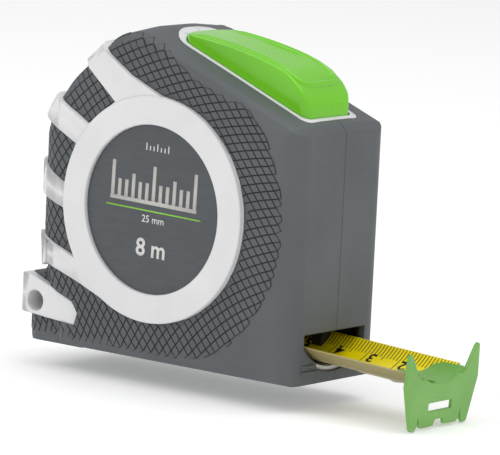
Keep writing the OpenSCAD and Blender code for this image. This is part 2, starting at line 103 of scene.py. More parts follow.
class TapeCaseSettings(bpy.types.PropertyGroup):
    """Sizes of the case, its grip texture and its label."""

    edge: length("Shell edge", "Rounding of the hard shell's edges", 0.36 * MM)
    tile_long: length("Tile length", "Spacing of the cross grooves", 2.0 * MM)
    tile_wide: length("Tile width", "Spacing of the long grooves", 2.4 * MM)
    tile_lift: length("Tile height", "Height of a tile over its groove", 0.24 * MM)
    tile_groove: length("Groove", "Half width of a groove at the grip", 0.19 * MM)
    tile_bend: length("Row radius", "Radius of the tile rows", 63 * MM)
    tile_turn: FloatProperty(
        name="Row direction", description="Slope of the tile rows", default=math.radians(39),
        subtype="ANGLE", unit="ROTATION",
    )
    print_lift: length("Print height", "Thickness of the printed film", 0.05 * MM)
    rib_lift: length("Rib height", "How far the mouth ribs stand out", 0.4 * MM)


class TapeBladeSettings(bpy.types.PropertyGroup):
    """Sizes of the blade, its scale and its hook."""

    sag: length("Hollow", "Depth of the blade's hollow", 4.8 * MM)
    thick: length("Thickness", "Thickness of the blade", 0.25 * MM)
    edge_height: length("Edge height", "Height of the blade's edges in the mouth", 9.7 * MM)
    inside: length("Length inside", "Straight blade kept inside the case", 38 * MM)
    outside: length("Length outside", "Front face to the hook's outer face", 34.4 * MM)
    setback: length("Setback", "Blade's end behind the hook's outer face", 3 * MM)
    zero: length("Zero", "The scale's zero ahead of the hook's face", 0.69 * MM)
    tick_wide: length("Tick width", "Width of a scale line", 0.2 * MM)
    tick_long: length("Tick length", "Length of the millimetre lines", 4.1 * MM)
    tick_short: length("Short tick", "Length of the lines on the other edge", 5.0 * MM)
    figure: length("Figure height", "Height of the centimetre figures", 3.6 * MM)
    ink_lift: length("Ink height", "Thickness of the printed scale", 0.04 * MM)
    hook_edge: length("Hook edge", "Rounding of the hook's edges", 0.16 * MM)
    rivet_head: length("Rivet head", "Radius of a rivet head", 2.0 * MM)
    segments: IntProperty(name="Segments", description="Steps of a round edge", default=2, min=1)


class TapeColourSettings(bpy.types.PropertyGroup):
    """Colours of the finishes."""

    shell: tint("Shell", "Hard white plastic", screen(226, 226, 227))
    grip: tint("Grip", "Soft grey rubber", screen(92, 96, 99))
    button: tint("Button", "Gloss green plastic", screen(116, 208, 8))
    hook: tint("Hook", "Green paint of the hook", screen(112, 174, 70))
    blade: tint("Blade", "Yellow paint of the blade", screen(252, 232, 0))
    under: tint("Underside", "Bare coating under the blade", screen(190, 176, 118))
    label: tint("Label", "Dark label film", screen(76, 80, 84))
    print: tint("Print", "Silver print", screen(196, 194, 188))
    ink: tint("Ink", "Black ink of the scale", screen(24, 23, 20))


def case_settings():
    """Sizes of the case, as they stand in the scene."""
    return bpy.context.scene.tape_case


def blade_settings():
    """Sizes of the blade, as they stand in the scene."""
    return bpy.context.scene.tape_blade


def colour_settings():
    """Colours, as they stand in the scene."""
    return bpy.context.scene.tape_colours


# ---------------------------------------------------------------- finishes

FINISHES = {}
# Painted shade: the dark colour painted on the shell's inner walls at the mouth
MOUTH_SHADE_COLOUR = (0.03, 0.032, 0.033)
BARE_METAL = (0.45, 0.45, 0.46)


class Wire:
    """A node's output, so that Python's operators add Math nodes to it."""

    def __init__(self, recipe, socket):
        self.recipe = recipe
        self.socket = socket

    def maths(self, operation, first, second):
        """A Math node on two values or outputs."""
        settings = {"operation": operation}
        return self.recipe.node("ShaderNodeMath", settings, {0: first, 1: second})

    def __add__(self, other):
        return self.maths("ADD", self, other)

    def __sub__(self, other):
        return self.maths("SUBTRACT", self, other)

    def __rsub__(self, other):
        return self.maths("SUBTRACT", other, self)

    def __mul__(self, other):
        return self.maths("MULTIPLY", self, other)

    __radd__ = __add__
    __rmul__ = __mul__


class Recipe:
    """A finish in the making: a material, its shader and one method that adds any node."""

    def __init__(self, name):
        self.material = bpy.data.materials.new(f"tape_{name}")
        FINISHES[name] = self.material
        self.material.use_nodes = True
        self.tree = self.material.node_tree
        self.shader = next(n for n in self.tree.nodes if n.type == "BSDF_PRINCIPLED")
        self.place = self.node("ShaderNodeTexCoord", {}, {}, "Object")

    def node(self, kind, settings, values, out=0):
        """Adds a node: its settings first, then the values or links of its sockets."""
        node = self.tree.nodes.new(kind)
        for name, value in settings.items():
            setattr(node, name, value)
        for socket, value in values.items():
            self.feed(node.inputs[socket], value)
        return Wire(self, node.outputs[out])

    def feed(self, socket, value):
        """Links an output to a socket, or sets the socket's value."""
        if isinstance(value, Wire):
            self.tree.links.new(value.socket, socket)
        else:
            socket.default_value = value

    def shade(self, **values):
        """Sets or links sockets of the shader, named with _ for a space."""
        for name, value in values.items():
            self.feed(self.shader.inputs[name.replace("_", " ").title()], value)

    def grain(self, scale, detail=2.0, place=None):
        """Even noise, scale grains to the metre."""
        values = {"Vector": place or self.place, "Scale": scale, "Detail": detail}
        return self.node("ShaderNodeTexNoise", {}, values)

    def stretched(self, size):
        """The object's place, stretched along its axes."""
        return self.node("ShaderNodeMapping", {}, {"Vector": self.place, "Scale": size})

    def spread(self, value, low, high, start=0.0, end=1.0):
        """Maps low..high of a value to start..end and stops there."""
        values = {"Value": value, "From Min": low, "From Max": high, "To Min": start, "To Max": end}
        return self.node("ShaderNodeMapRange", {}, values)

    def blend(self, share, first, second):
        """Colour between first and second."""
        colours = [c if isinstance(c, Wire) else (*c, 1) for c in (first, second)]
        values = {0: share, 6: colours[0], 7: colours[1]}
        return self.node("ShaderNodeMix", {"data_type": "RGBA"}, values, 2)

    def bump(self, height, distance, soft=0.0):
        """Relief of the surface; soft also rounds the look of its edges by that radius."""
        values = {"Height": height, "Distance": distance, "Strength": 1.0}
        if soft:
            values["Normal"] = self.node("ShaderNodeBevel", {"samples": 4}, {"Radius": soft})
        self.shade(normal=self.node("ShaderNodeBump", {}, values))


def darker(colour, share):
    """A share of a colour's brightness."""
    return tuple(c * share for c in colour)


def moulded(name, colour, shade, rough, grain, height,
            coat=0.0, patch=70.0, soft=0.0, mouth_shade_mask=None):
    """Moulded plastic or rubber: cloudy tone, fine skin grain and uneven gloss, and painted shade where a shade
    mask is given.
    """
    recipe = Recipe(name)
    cloud = recipe.grain(patch, 3.0)
    skin = recipe.grain(grain, 2.0)
    tone = recipe.spread(cloud + skin * 0.35, 0.45, 0.9)
    mixed = recipe.blend(tone, colour, darker(colour, shade))
    # Painted shade: the mask paints the colour dark where shade falls
    if mouth_shade_mask:
        mixed = recipe.blend(mouth_shade_mask(recipe), mixed, MOUTH_SHADE_COLOUR)
    recipe.shade(base_color=mixed)
    recipe.shade(roughness=recipe.spread(cloud * 0.5 + skin * 0.5, 0.3, 0.7, rough[0], rough[1]))
    recipe.bump(skin, height, soft=soft)
    if coat:
        recipe.shade(coat_weight=coat, coat_roughness=0.08)
    return recipe.material


def inside_mouth(recipe):
    """Painted shade: 1 on the shell's inner walls at the mouth, where shade falls and the white is painted dark,
    and 0 elsewhere.
    """
    parts = [recipe.node("ShaderNodeSeparateXYZ", {}, {"Vector": recipe.place}, k) for k in (0, 2)]
    front = GRIP_BOX[1].x
    return (recipe.spread(parts[0], front - 12 * MM, front - 11 * MM)
            * recipe.spread(parts[1], 5.2 * MM, 5.5 * MM)
            * recipe.spread(parts[1], 14.5 * MM, 15 * MM, 1.0, 0.0))


def painted(name, colour, shade, wear, low):
    """Painted sheet: uneven gloss, a slight orange peel and bare metal where it wears."""
    recipe = Recipe(name)
    cloud = recipe.grain(120, 3.0)
    peel = recipe.grain(1500, 2.0)
    height = recipe.node("ShaderNodeSeparateXYZ", {}, {"Vector": recipe.place}, 2)
    rub = recipe.spread(height, low, low + 1.6 * MM, 0.16, 0.0)
    chips = recipe.spread(recipe.grain(900, 4.0) + rub * wear, 0.70, 0.74)
    paint = recipe.blend(recipe.spread(cloud, 0.35, 0.7), colour, darker(colour, shade))
    recipe.shade(base_color=recipe.blend(chips, paint, BARE_METAL))
    recipe.shade(roughness=recipe.spread(cloud, 0.3, 0.7, 0.3, 0.42), metallic=chips)
    recipe.bump(peel * 0.5 - chips, 0.03 * MM)
    recipe.shade(coat_weight=0.25, coat_roughness=0.1)
    return recipe.material


def brushed(name, colour, rough, lines):
    """Bare metal with fine lines along one way."""
    recipe = Recipe(name)
    streak = recipe.grain(900, 3.0, recipe.stretched(lines))
    stain = recipe.grain(160, 3.0)
    tone = recipe.spread(stain, 0.3, 0.75)
    recipe.shade(base_color=recipe.blend(tone, colour, darker(colour, 0.75)))
    recipe.shade(metallic=0.95, roughness=recipe.spread(streak, 0.3, 0.7, rough[0], rough[1]))
    recipe.bump(streak, 0.01 * MM)
    return recipe.material


def film(name, colour, shade, rough, lines=(1, 1, 1)):
    """Printed film or ink: faint streaks and an even sheen."""
    recipe = Recipe(name)
    streak = recipe.grain(1400, 2.0, recipe.stretched(lines))
    tone = recipe.spread(streak + recipe.grain(60, 2.0) * 0.5, 0.5, 1.0)
    recipe.shade(base_color=recipe.blend(tone, colour, darker(colour, shade)))
    recipe.shade(roughness=recipe.spread(streak, 0.3, 0.7, rough[0], rough[1]))
    recipe.bump(streak, 0.004 * MM)
    return recipe.material


def finishes():
    """All finishes by name, made once."""
    if FINISHES:
        return FINISHES
    c = colour_settings()
    grip = tuple(c.grip)
    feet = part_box("end_hook")[0].z
    # The white shell has painted shade on its inner walls at the mouth
    moulded("shell_plastic", tuple(c.shell), 0.93, (0.30, 0.42), 2600, 0.012 * MM,
            soft=0.5 * MM, mouth_shade_mask=inside_mouth)
    moulded("grip_rubber", grip, 0.86, (0.52, 0.68), 2100, 0.035 * MM, patch=45, soft=0.6 * MM)
    moulded("tile_rubber", darker(grip, 0.9), 0.84, (0.48, 0.62), 2100, 0.03 * MM)
    # Painted shade: the grooves between the tiles are the grip's rubber painted much darker, for the shade that
    # falls in them
    moulded("groove_shade_rubber", darker(grip, 0.34), 0.8, (0.7, 0.8), 2100, 0.02 * MM)
    moulded("button_plastic", tuple(c.button), 0.9, (0.20, 0.30), 2200, 0.008 * MM, coat=0.3)
    moulded("inner_plastic", (0.035, 0.036, 0.04), 0.75, (0.45, 0.6), 1800, 0.02 * MM)
    moulded("brake_rubber", (0.022, 0.022, 0.023), 0.7, (0.75, 0.88), 1500, 0.03 * MM)
    painted("hook_paint", tuple(c.hook), 0.88, 1.0, feet)
    film("blade_paint", tuple(c.blade), 0.93, (0.26, 0.36), (0.1, 1, 1))
    film("under_paint", tuple(c.under), 0.88, (0.38, 0.5), (0.1, 1, 1))
    film("patch_film", (0.42, 0.36, 0.2), 0.85, (0.3, 0.45), (0.2, 1, 1))
    film("label_film", tuple(c.label), 0.84, (0.34, 0.44), (0.15, 1, 1))
    film("silver_print", tuple(c.print), 0.86, (0.3, 0.42), (1, 1, 0.15))
    film("white_print", screen(222, 222, 220), 0.94, (0.4, 0.5))
    film("green_print", screen(140, 212, 60), 0.92, (0.38, 0.48))
    film("black_ink", tuple(c.ink), 0.8, (0.35, 0.5))
    brushed("steel", (0.56, 0.56, 0.58), (0.24, 0.42), (1, 0.08, 1))
    brushed("spring_steel", (0.34, 0.35, 0.38), (0.28, 0.4), (1, 0.08, 1))
    return FINISHES


# ---------------------------------------------------------------- making pieces


def finished(bm, name, body, coats, stands_for=(), smooth=34.0):
    """Turns a bmesh into a named piece that rides on a body."""
    if not bm.faces:
        raise RuntimeError(f"{name} came out empty")
    mesh = bpy.data.meshes.new(name)
    bm.normal_update()
    bm.to_mesh(mesh)
    bm.free()
    mesh.shade_smooth()
    mesh.set_sharp_from_angle(angle=math.radians(smooth))
    for coat in coats:
        mesh.materials.append(finishes()[coat])
    piece = bpy.data.objects.new(name, mesh)
    bpy.context.scene.collection.objects.link(piece)
    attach(piece, body)
    if stands_for:
        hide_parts(*stands_for)
    return piece


def even_shading(piece):
    """Keeps flat faces flat beside their rounded edges."""
    shading = piece.modifiers.new("even_shading", "WEIGHTED_NORMAL")
    shading.keep_sharp = True
    return piece


def thickened(piece, thick, out=1.0):
    """Gives flat work a thickness."""
    wall = piece.modifiers.new("thickness", "SOLIDIFY")
    wall.thickness = thick
    wall.offset = out
    wall.use_even_offset = False
    return piece


def node_copy(node):
    """A merged copy of a frame node whose flat regions are single faces."""
    bm = bmesh.new()
    bm.from_mesh(frame["nodes"][node].data)
    bmesh.ops.remove_doubles(bm, verts=bm.verts, dist=MERGE)
    for _ in range(2):
        bmesh.ops.dissolve_degenerate(bm, edges=bm.edges, dist=MERGE)
        bmesh.ops.dissolve_limit(
            bm, angle_limit=math.radians(0.5), use_dissolve_boundaries=False,
            verts=bm.verts, edges=bm.edges, delimit=set(),
        )
    return bm


def corner(edge):
    """Angle between an edge's two faces, in degrees."""
    return math.degrees(edge.calc_face_angle(0)) if len(edge.link_faces) == 2 else 0.0


def round_edges(bm, width, wanted, segments=2):
    """Rounds the edges that wanted picks."""
    edges = [edge for edge in bm.edges if wanted(edge)]
    if edges:
        bmesh.ops.bevel(
            bm, geom=edges, offset=width, offset_type="OFFSET", affect="EDGES",
            segments=segments, profile=0.5, clamp_overlap=False, material=-1,
        )


def keep_inside(bm, node):
    """Moves points that a rounded edge pushed out back into the node's box."""
    low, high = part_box(node)
    for vert in bm.verts:
        vert.co = [min(max(c, a), b) for c, a, b in zip(vert.co, low, high)]


def recoat(node, coat):
    """Gives a frame node that stays its finish."""
    slots = frame["nodes"][node].material_slots
    if not slots:
        raise RuntimeError(f"{node} has no material slot")
    for slot in slots:
        slot.link = "OBJECT"
        slot.material = finishes()[coat]


def bar(bm, centre, size):
    """Adds a box of that size."""
    place = Matrix.Translation(centre) @ Matrix.Diagonal((*size, 1))
    return bmesh.ops.create_cube(bm, size=1, matrix=place)["verts"]


def sheet(bm, centre, size, steps):
    """Adds a flat patch, divided across into steps."""
    place = Matrix.Translation(centre) @ Matrix.Diagonal((size[0], size[1], 1, 1))
    bmesh.ops.create_grid(bm, x_segments=1, y_segments=steps, size=0.5, matrix=place)


def lettering(bm, words, height, place, weight=0.0):
    """Adds flat generic lettering, centred on its place."""
    curve = bpy.data.curves.new("lettering", "FONT")
    curve.body = words
    curve.size = height / 0.72
    curve.offset = weight
    curve.align_x = "CENTER"
    curve.align_y = "CENTER"
    curve.resolution_u = 3
    add_curve(bm, curve, place)


def add_curve(bm, curve, place):
    """Adds the surface of a curve or text at its place, and removes the curve."""
    holder = bpy.data.objects.new("holder", curve)
    bpy.context.scene.collection.objects.link(holder)
    shapes = bpy.context.evaluated_depsgraph_get()
    mesh = bpy.data.meshes.new_from_object(holder.evaluated_get(shapes))
    mesh.transform(place)
    bm.from_mesh(mesh)
    bpy.data.objects.remove(holder)
    bpy.data.curves.remove(curve)
    bpy.data.meshes.remove(mesh)
    bmesh.ops.remove_doubles(bm, verts=bm.verts, dist=MERGE / 2)


# ---------------------------------------------------------------- the case


# An edge counts as sharp above this angle, in degrees
SHARP = 60
LANYARD_RING = 3 * MM


class TAPE_OT_shell(bpy.types.Operator):
    """Hard shells: bezel ring, back arms, lanyard block and button frame, with soft edges"""

    bl_idname = "tape.shell"
    bl_label = "Hard shells"

    def execute(self, context):
        sizes = case_settings()
        for side in SIDES:
            node = f"shell_{side}"
            bm = node_copy(node)
            face = max(abs(c.y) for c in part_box(node))

            def ring_edge(edge):
                return corner(edge) > SHARP and all(
                    abs(v.co.y) > face - 0.02 * MM for v in edge.verts)

            def hole_edge(edge):
                return corner(edge) > SHARP and all(
                    (v.co.xz - LANYARD).length < LANYARD_RING for v in edge.verts)

            round_edges(bm, sizes.edge, ring_edge, 3)
            round_edges(bm, sizes.edge, hole_edge)
            keep_inside(bm, node)
            piece = finished(bm, f"hard_shell_{side}", "case", ["shell_plastic"], [node],
                             50)
            even_shading(piece)
        return {"FINISHED"}


class TAPE_OT_grip(bpy.types.Operator):
    """Soft grips, with their rubber finish"""

    bl_idname = "tape.grip"
    bl_label = "Soft grips"

    def execute(self, context):
        for side in SIDES:
            recoat(f"grip_{side}", "grip_rubber")
        return {"FINISHED"}


# Outline of the tiled field on a side of the grip, in mm along X and Z
FIELD = [
    (-8.3, 84.6), (-1.5, 82.4), (4.8, 78.2), (11.2, 74.4), (16.3, 72.6), (22, 70.8), (28, 69.4),
    (35.2, 62.4), (38, 55.8), (40.4, 49.2), (41.0, 43.9), (41.0, 34.7), (39.3, 25.8),
    (36.8, 21.2), (33, 15.2), (26.5, 8.2), (18, 3.6), (8, 2.2), (-46, 2.2), (-46, 85),
]


# The grid that the tiles are cut from, and how its middle sits over the reel
TILE_ROWS, TILE_COLUMNS = 52, 62
TILE_MIDDLE = 8 * MM
TILE_BASE = 0.03 * MM
STEEPEST = 0.3
THIN_AREA = 0.6 * MM * MM
THIN_EDGE = 0.55 * MM
OUTSIDE = 0.05


def in_field(x, z):
    """True where the grip is tiled."""
    inside = False
    for (x0, z0), (x1, z1) in zip(FIELD, FIELD[1:] + FIELD[:1]):
        if (z0 > z) != (z1 > z) and x < x0 + (z - z0) * (x1 - x0) / (z1 - z0):
            inside = not inside
    return inside


class GripSide:
    """One side of the grip, for finding where its texture may lie."""

    def __init__(self, side, sign):
        self.sign = sign
        self.grip = BVHTree.FromPolygons(*triangles(f"grip_{side}"))
        self.shell = BVHTree.FromPolygons(*triangles(f"shell_{side}"))

    def probe(self, flat):
        """The surface and its direction at a place of the side view, or None off the field."""
        if not in_field(flat.x / MM, flat.y / MM):
            return None
        start = Vector((flat.x, self.sign * OUTSIDE, flat.y))
        way = Vector((0, -self.sign, 0))
        spot, normal, _, far = self.grip.ray_cast(start, way)
        if spot is None or normal.y * self.sign < STEEPEST:
            return None
        hard = self.shell.ray_cast(start, way)
        if hard[0] is not None and hard[3] < far + 0.01 * MM:
            return None
        return spot + normal * TILE_BASE

    def edge_between(self, inside, outside):
        """The last place of the field on the way from inside to outside."""
        for _ in range(7):
            middle = (inside + outside) / 2
            if self.probe(middle):
                inside = middle
            else:
                outside = middle
        return self.probe(inside)


class TAPE_OT_tiles(bpy.types.Operator):
    """Raised tiles of the grip's texture, in curved rows on both sides, with painted shade in the grooves"""

    bl_idname = "tape.tiles"
    bl_label = "Grip tiles"

    def execute(self, context):
        sizes = case_settings()
        turn = Matrix.Rotation(sizes.tile_turn, 2)
        for side, sign in SIDES.items():
            field = GripSide(side, sign)
            bm = bmesh.new()
            bmesh.ops.create_grid(bm, x_segments=TILE_COLUMNS, y_segments=TILE_ROWS, size=0.5)
            flats, spots = {}, {}
            for vert in bm.verts:
                along = vert.co.x * TILE_COLUMNS * sizes.tile_long
                over = vert.co.y * TILE_ROWS * sizes.tile_wide
                over = over - along * along / (2 * sizes.tile_bend) + TILE_MIDDLE
                flats[vert] = turn @ Vector((along, over)) + Vector((0, REEL_AXIS.z))
                spots[vert] = field.probe(flats[vert])
            gone = []
            for vert in bm.verts:
                spot = spots[vert]
                if spot is None:
                    ends = [e.other_vert(vert) for e in vert.link_edges]
                    ends = [end for end in ends if spots[end]]
                    if ends:
                        inside = sum((flats[end] for end in ends), Vector((0, 0))) / len(ends)
                        if field.probe(inside) is None:
                            inside = flats[ends[0]]
                        spot = field.edge_between(inside, flats[vert])
                if spot is None:
                    gone.append(vert)
                else:
                    vert.co = spot
            bmesh.ops.delete(bm, geom=gone, context="VERTS")
            thin = [f for f in bm.faces if f.calc_area() < THIN_AREA
                    or min(e.calc_length() for e in f.edges) < THIN_EDGE]
            bmesh.ops.delete(bm, geom=thin, context="FACES")
            bm.normal_update()
            for face in bm.faces:
                if face.normal.y * sign < 0:
                    face.normal_flip()
            bm.normal_update()
            walls = bmesh.ops.inset_individual(
                bm, faces=bm.faces[:], thickness=sizes.tile_groove, depth=sizes.tile_lift,
                use_even_offset=True,
            )["faces"]
            # The tiles' sides down to the grooves get the painted groove shade
            for face in walls:
                face.material_index = 1
            finished(bm, f"grip_tiles_{side}", "case", ["tile_rubber", "groove_shade_rubber"], (),
                     20)
        return {"FINISHED"}


def triangles(node):
    """Corner points and triangles of a frame node."""
    mesh = frame["nodes"][node].data
    mesh.calc_loop_triangles()
    return [v.co.copy() for v in mesh.vertices], [tuple(t.vertices) for t in mesh.loop_triangles]


# Mouth ribs, in mm: bottom, top, and nearest and farthest from the middle
RIBS = ((4.3, 5.1, 8.4, 13.6), (2.7, 3.5, 6.6, 13.6))
RIB_ROOT = 0.3 * MM
RIB_EDGE = 0.15 * MM


class TAPE_OT_mouth(bpy.types.Operator):
    """Stepped ribs beside the lip under the mouth"""

    bl_idname = "tape.mouth"
    bl_label = "Mouth ribs"

    def execute(self, context):
        lift = case_settings().rib_lift
        front = GRIP_BOX[1].x
        for side, sign in SIDES.items():
            bm = bmesh.new()
            for low, high, start, end in RIBS:
                size = (lift + RIB_ROOT, (end - start) * MM, (high - low) * MM)
                centre = (front + (lift - RIB_ROOT) / 2, sign * (start + end) / 2 * MM,
                          (low + high) / 2 * MM)
                bar(bm, centre, size)
            round_edges(bm, RIB_EDGE, lambda edge: corner(edge) > SHARP)
            finished(bm, f"mouth_ribs_{side}", "case", ["grip_rubber"], ())
        return {"FINISHED"}


# Press button: its rounded edge, and the rim round the thumb rest
BUTTON_EDGE = 0.7 * MM
BUTTON_SKIRT = 6 * MM
RIM_RADIUS = 0.95 * MM
RIM_SUNK = 0.42 * MM
RIM_SIDE = 1.75 * MM
RIM_TAIL = 5 * MM
RIM_TAIL_BEND = 3.2 * MM
RIM_NOSE = 6.2 * MM
RIM_TURN = 2.6 * MM


class TAPE_OT_button(bpy.types.Operator):
    """Press button with rounded edges, and the raised rim round its thumb rest"""

    bl_idname = "tape.button"
    bl_label = "Lock button"

    def execute(self, context):
        low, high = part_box("lock_button")
        bm = node_copy("lock_button")
        level = low.z + BUTTON_SKIRT

        def rim(edge):
            return 20 < corner(edge) < 130 and min(v.co.z for v in edge.verts) > level

        round_edges(bm, BUTTON_EDGE, rim, 3)
        keep_inside(bm, "lock_button")
        piece = finished(bm, "press_button", "button", ["button_plastic"], ["lock_button"],
                         45)
        even_shading(piece)

        top = BVHTree.FromPolygons(*triangles("lock_button"))
        path = []
        for x, y in rim_outline(low, high):
            spot = top.ray_cast(Vector((x, y, high.z + 10 * MM)), Vector((0, 0, -1)))[0]
            if spot:
                path.append(spot - Vector((0, 0, RIM_SUNK)))
        curve = bpy.data.curves.new("rim", "CURVE")
        curve.dimensions = "3D"
        curve.bevel_depth = RIM_RADIUS
        curve.bevel_resolution = 4
        line = curve.splines.new("POLY")
        line.points.add(len(path) - 1)
        for point, place in zip(line.points, smoothed(path)):
            point.co = (*place, 1)
        line.use_cyclic_u = True
        bm = bmesh.new()
        add_curve(bm, curve, Matrix())
        for vert in bm.verts:
            vert.co.z = min(vert.co.z, high.z)
        finished(bm, "thumb_rim", "button", ["button_plastic"], (), 60)
        return {"FINISHED"}


def rim_outline(low, high):
    """Closed outline of the thumb rest in plan, inside the button's box."""
    half = high.y - RIM_SIDE
    tail, nose = low.x + RIM_TAIL, high.x - RIM_NOSE
    bend = [math.pi / 2 * k / 5 for k in range(6)]
    loop = [(tail + RIM_TAIL_BEND * math.cos(a), half * math.sin(a))
            for a in (math.pi / 2 + math.pi * k / 14 for k in range(15))]
    loop += [(tail + (nose - tail) * k / 12, -half) for k in range(1, 12)]
    loop += [(nose + RIM_TURN * math.sin(a), RIM_TURN - half - RIM_TURN * math.cos(a))
             for a in bend]
    loop += [(nose + RIM_TURN, (half - RIM_TURN) * k / 4) for k in range(-3, 4)]
    loop += [(nose + RIM_TURN * math.cos(a), half - RIM_TURN + RIM_TURN * math.sin(a))
             for a in bend]
    return loop + [(tail + (nose - tail) * k / 12, half) for k in range(11, 0, -1)]


def smoothed(path):
    """Evens out a closed line of points."""
    for _ in range(2):
        path = [(path[k - 1] + path[k] * 2 + path[(k + 1) % len(path)]) / 4
                for k in range(len(path))]
    return path


# ---------------------------------------------------------------- the label


class TAPE_OT_label(bpy.types.Operator):
    """Label discs with a generic ruler mark, a rule and the blade's length and width"""

    bl_idname = "tape.label"
    bl_label = "Label print"

    def execute(self, context):
        sizes = case_settings()
        for side, sign in SIDES.items():
            recoat(f"label_{side}", "label_film")
            face = max(abs(c.y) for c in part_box(f"label_{side}"))
            out = Matrix((
                (-sign, 0, 0, REEL_AXIS.x),
                (0, 0, sign, sign * (face + 0.01 * MM)),
                (0, 1, 0, REEL_AXIS.z),
                (0, 0, 0, 1),
            )) @ Matrix.Rotation(math.radians(-1.5), 4, "Z")
            parts = {"silver_print": ruler_mark, "green_print": rule, "white_print": words}
            for coat, draw in parts.items():
                bm = bmesh.new()
                draw(bm)
                bmesh.ops.transform(bm, matrix=out, verts=bm.verts)
                piece = finished(bm, f"label_{coat}_{side}", "case", [coat], ())
                thickened(piece, sizes.print_lift)
        return {"FINISHED"}


def ruler_mark(bm):
    """Upright strokes on a base line, longest at the ends and the middle."""
    sheet(bm, Vector((0, 1.6, 0)) * MM, Vector((28.4, 1.0)) * MM, 1)
    for k in range(13):
        tall = 9.0 if k % 6 == 0 else 6.2 if k % 3 == 0 else 4.4
        middle = Vector(((k - 6) * 2.25, 2.1 + tall / 2, 0)) * MM
        sheet(bm, middle, Vector((1.1, tall)) * MM, 1)


def rule(bm):
    """Thin line under the ruler mark."""
    sheet(bm, Vector((0.2, -0.5, 0)) * MM, Vector((31, 0.35)) * MM, 1)


def words(bm):
    """The blade's width and length, and a short row of strokes above."""
    lettering(bm, "25 mm", 1.9 * MM, Matrix.Translation(Vector((0.3, -2.7, 0)) * MM), 0.02 * MM)
    lettering(bm, "8 m", 4.6 * MM, Matrix.Translation(Vector((0.2, -10.3, 0)) * MM), 0.12 * MM)
    for k in range(7):
        tall = 1.9 if k % 3 == 0 else 1.2
        middle = Vector(((k - 3) * 1.2 + 0.4, 15.0 + tall / 2, 0)) * MM
        sheet(bm, middle, Vector((0.35, tall)) * MM, 1)


# ---------------------------------------------------------------- the blade


class Blade:
    """The blade's shape: an arc that is hollow on top, tilted at the mouth."""

    def __init__(self):
        self.sizes = blade_settings()
        half = BLADE_BOX[1].y
        self.radius = (half * half + self.sizes.sag ** 2) / (2 * self.sizes.sag)
        self.centre = self.radius - self.sizes.sag
        self.half_arc = self.radius * math.asin(half / self.radius)
        up = Vector((-BLADE_AXIS.z, 0, BLADE_AXIS.x))
        place = Matrix((BLADE_AXIS, Vector((0, 1, 0)), up)).transposed().to_4x4()
        place.translation = Vector((GRIP_BOX[1].x, 0, self.sizes.edge_height))
        self.place = place

    def lay(self, bm, under=False):
        """Bends flat work onto the blade: x along it, y across, z off its surface."""
        for vert in bm.verts:
            turn = vert.co.y / self.radius
            lift = -self.sizes.thick - vert.co.z if under else vert.co.z
            reach = self.radius - lift
            vert.co = self.place @ Vector(
                (vert.co.x, reach * math.sin(turn), self.centre - reach * math.cos(turn))
            )
        if under:
            bmesh.ops.reverse_faces(bm, faces=bm.faces)


class TAPE_OT_blade(bpy.types.Operator):
    """Curved blade, painted above and plain below"""

    bl_idname = "tape.blade"
    bl_label = "Blade"

    def execute(self, context):
        blade = Blade()
        sizes = blade.sizes
        start, end = -sizes.inside, sizes.outside - sizes.setback
        bm = bmesh.new()
        place = Matrix.Translation(((start + end) / 2, 0, 0)) @ Matrix.Diagonal(
            (end - start, 2 * blade.half_arc, 1, 1))
        bmesh.ops.create_grid(bm, x_segments=35, y_segments=28, size=0.5, matrix=place)
        blade.lay(bm)
        piece = finished(bm, "curved_blade", "blade", ["blade_paint", "under_paint"],
                         ["blade_strip"], 60)
        wall = thickened(piece, sizes.thick, -1.0).modifiers["thickness"]
        wall.material_offset = 1
        wall.material_offset_rim = 1
        return {"FINISHED"}


# Scale: the first line, how it keeps off the blade's edges, and where a figure stands
FIRST_LINE = 4
EDGE_GAP = 0.2 * MM
FIVE_MORE = 0.9 * MM
LINE_HEIGHT = 0.02 * MM
FIGURE_HEIGHT = 0.03 * MM
FIGURE_AHEAD = 2.1 * MM
FIGURE_ACROSS = 7.0 * MM


class TAPE_OT_scale(bpy.types.Operator):
    """Millimetre scale and centimetre figures on both faces of the blade"""

    bl_idname = "tape.scale"
    bl_label = "Blade scale"

    def execute(self, context):
        blade = Blade()
        sizes = blade.sizes
        zero = sizes.outside + sizes.zero
        last = int((zero + sizes.inside) / MM)
        for face, under in (("top", False), ("under", True)):
            bm = bmesh.new()
            for k in range(FIRST_LINE, last):
                at = zero - k * MM
                if k % 10 == 0:
                    sheet(bm, Vector((at, 0, LINE_HEIGHT)),
                          (sizes.tick_wide, 2 * (blade.half_arc - EDGE_GAP)), 28)
                    continue
                more = FIVE_MORE if k % 5 == 0 else 0.0
                for edge, tall in ((1, sizes.tick_long), (-1, sizes.tick_short)):
                    tall = tall + more
                    middle = edge * (blade.half_arc - EDGE_GAP - tall / 2)
                    sheet(bm, Vector((at, middle, LINE_HEIGHT)), (sizes.tick_wide, tall), 11)
            blade.lay(bm, under)
            thickened(finished(bm, f"scale_lines_{face}", "blade", ["black_ink"], ()), sizes.ink_lift)
            bm = bmesh.new()
            for k in range(1, last // 10 + 1):
                at = zero - k * 10 * MM
                turn = 1 if under else -1
                spot = (at + FIGURE_AHEAD, FIGURE_ACROSS, FIGURE_HEIGHT)
                place = Matrix.Translation(spot) @ Matrix.Diagonal((turn, -1, 1, 1))
                lettering(bm, str(k), sizes.figure, place, 0.1 * MM)
            if under:
                bmesh.ops.reverse_faces(bm, faces=bm.faces)
            for step in range(-2, 16):
                bmesh.ops.bisect_plane(
                    bm, geom=bm.verts[:] + bm.edges[:] + bm.faces[:], dist=0.001 * MM,
                    plane_co=(0, step * 0.6 * MM, 0), plane_no=(0, 1, 0),
                )
            blade.lay(bm, under)
            thickened(finished(bm, f"scale_figures_{face}", "blade", ["black_ink"], ()), sizes.ink_lift)
        return {"FINISHED"}


